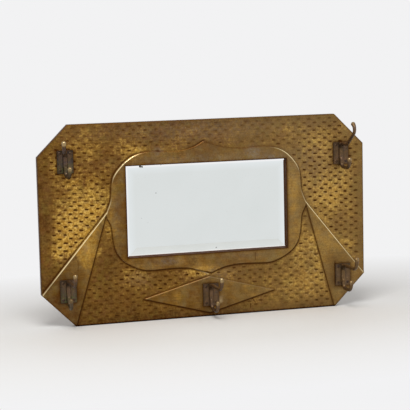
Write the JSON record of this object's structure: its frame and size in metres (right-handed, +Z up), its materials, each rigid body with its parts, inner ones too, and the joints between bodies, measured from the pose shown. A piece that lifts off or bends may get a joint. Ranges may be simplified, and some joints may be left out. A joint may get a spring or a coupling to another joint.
{
  "type": "hall mirror with coat hooks",
  "caption": "Eight-sided hall mirror: timber board clad in embossed sheet brass, bevelled glass let in from behind, double coat hooks round it and hanging rings at the back.",
  "frame": {"origin": "centre of the board's back face, in the plane of the wall", "axes": "+Z up as it hangs, +X to the right seen from the front, the front faces -Y"},
  "size_m": [0.9, 0.1303, 0.53],
  "materials": {
    "pine": "sawn and planed pine, darkened with age",
    "dowel_wood": "end grain of beech dowels",
    "sheet_brass": "embossed sheet brass with old brown patina",
    "mirror_glass": "silvered bevelled glass",
    "felt": "grey wool felt",
    "backing_wood": "thin planed board, unvarnished",
    "steel": "dull steel",
    "dark_bronze": "cast brass with a dark brown patina, worn bright on the knobs",
    "ring_brass": "dull drawn brass"
  },
  "bodies": {
    "board": {"rail_top": "pine", "rail_bottom": "pine", "stile_left": "pine", "stile_right": "pine", "lap_dowels": "dowel_wood", "brass_facing": "sheet_brass", "facing_pins": "sheet_brass", "mirror_glass": "mirror_glass", "glass_blocks": "pine", "felt_sheet": "felt", "backing_board": "backing_wood", "backing_pins": "steel", "hook_plate_top_left": "dark_bronze", "hook_plate_top_right": "dark_bronze", "hook_plate_bottom_left": "dark_bronze", "hook_plate_bottom_mid": "dark_bronze", "hook_plate_bottom_right": "dark_bronze", "hook_top_left": "dark_bronze", "hook_top_right": "dark_bronze", "hook_bottom_left": "dark_bronze", "hook_bottom_mid": "dark_bronze", "hook_bottom_right": "dark_bronze", "hook_rivets": "ring_brass", "hook_screws": "dark_bronze", "ring_strap_left": "ring_brass", "ring_strap_right": "ring_brass", "ring_screws": "steel"},
    "left_ring": {"hanging_ring_left": "ring_brass"},
    "right_ring": {"hanging_ring_right": "ring_brass"}
  },
  "joints": [
    {"name": "left_ring_swing", "type": "hinge", "parent": "board", "child": "left_ring", "pos_m": [-0.15, -0.00424, 0.212], "axis": [1, 0, 0], "range_deg": [0, 175]},
    {"name": "right_ring_swing", "type": "hinge", "parent": "board", "child": "right_ring", "pos_m": [0.15, -0.00424, 0.212], "axis": [1, 0, 0], "range_deg": [0, 175]}
  ]
}
